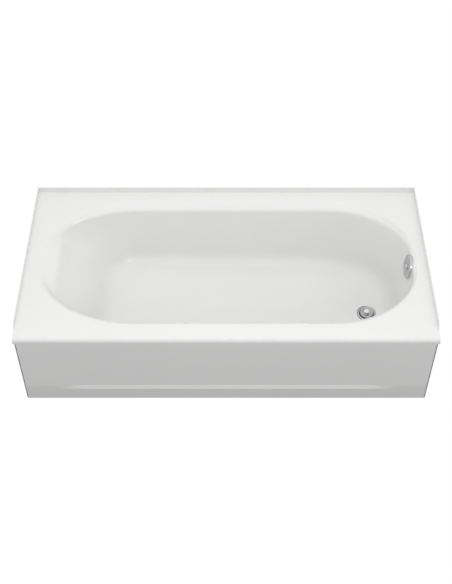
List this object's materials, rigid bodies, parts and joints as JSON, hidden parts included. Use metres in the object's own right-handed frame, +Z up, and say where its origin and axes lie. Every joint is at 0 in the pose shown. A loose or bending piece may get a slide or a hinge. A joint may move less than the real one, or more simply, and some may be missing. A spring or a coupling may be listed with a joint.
{
  "type": "alcove bathtub",
  "caption": "White enamelled alcove bathtub with an integral front apron, raised tiling flange, sloped backrest, lift-and-turn drain stopper and overflow.",
  "frame": {"origin": "on the ground under the middle of the tub's overall box", "axes": "+X along the tub to the drain end, +Y from the apron to the back wall, +Z up"},
  "size_m": [1.524, 0.762, 0.381],
  "materials": {
    "white_enamel": "glossy white vitreous enamel on steel",
    "grey_composite": "rough moulded resin composite",
    "foot_plastic": "matt moulded plastic",
    "chrome": "polished chrome plate",
    "brass": "plain turned brass",
    "black_rubber": "soft black rubber",
    "fibre": "pressed red-brown fibre",
    "spring_steel": "plain spring steel"
  },
  "bodies": {
    "tub": {"tub_shell": "white_enamel", "composite_backing": "grey_composite", "drain_flange": "chrome", "drain_flange_gasket": "black_rubber", "drain_lower_gasket": "black_rubber", "drain_friction_washer": "fibre", "drain_locknut": "brass", "stopper_post": "brass", "post_o_ring": "black_rubber", "overflow_plate": "chrome", "overflow_screw": "chrome", "overflow_gasket": "black_rubber", "overflow_elbow": "brass", "overflow_slip_nut": "brass", "overflow_slip_washer": "black_rubber", "overflow_down_pipe": "brass", "support_foot_head_front": "foot_plastic", "foot_pad_head_front": "black_rubber", "support_foot_head_back": "foot_plastic", "foot_pad_head_back": "black_rubber", "support_foot_drain_front": "foot_plastic", "foot_pad_drain_front": "black_rubber", "support_foot_drain_back": "foot_plastic", "foot_pad_drain_back": "black_rubber"},
    "sleeve": {"stopper_sleeve": "brass", "stopper_clip": "spring_steel"},
    "stopper": {"stopper_cap": "chrome", "stopper_knob": "chrome", "stopper_seal": "black_rubber", "stopper_set_screw": "spring_steel"}
  },
  "joints": [
    {"name": "stopper_lift", "type": "slide", "parent": "tub", "child": "sleeve", "axis": [0, 0, 1], "range_m": [0, 0.01]},
    {"name": "stopper_turn", "type": "hinge", "parent": "sleeve", "child": "stopper", "pos_m": [0.567, 0.006, 0.045], "axis": [0, 0, 1], "range_deg": [0, 90]}
  ]
}
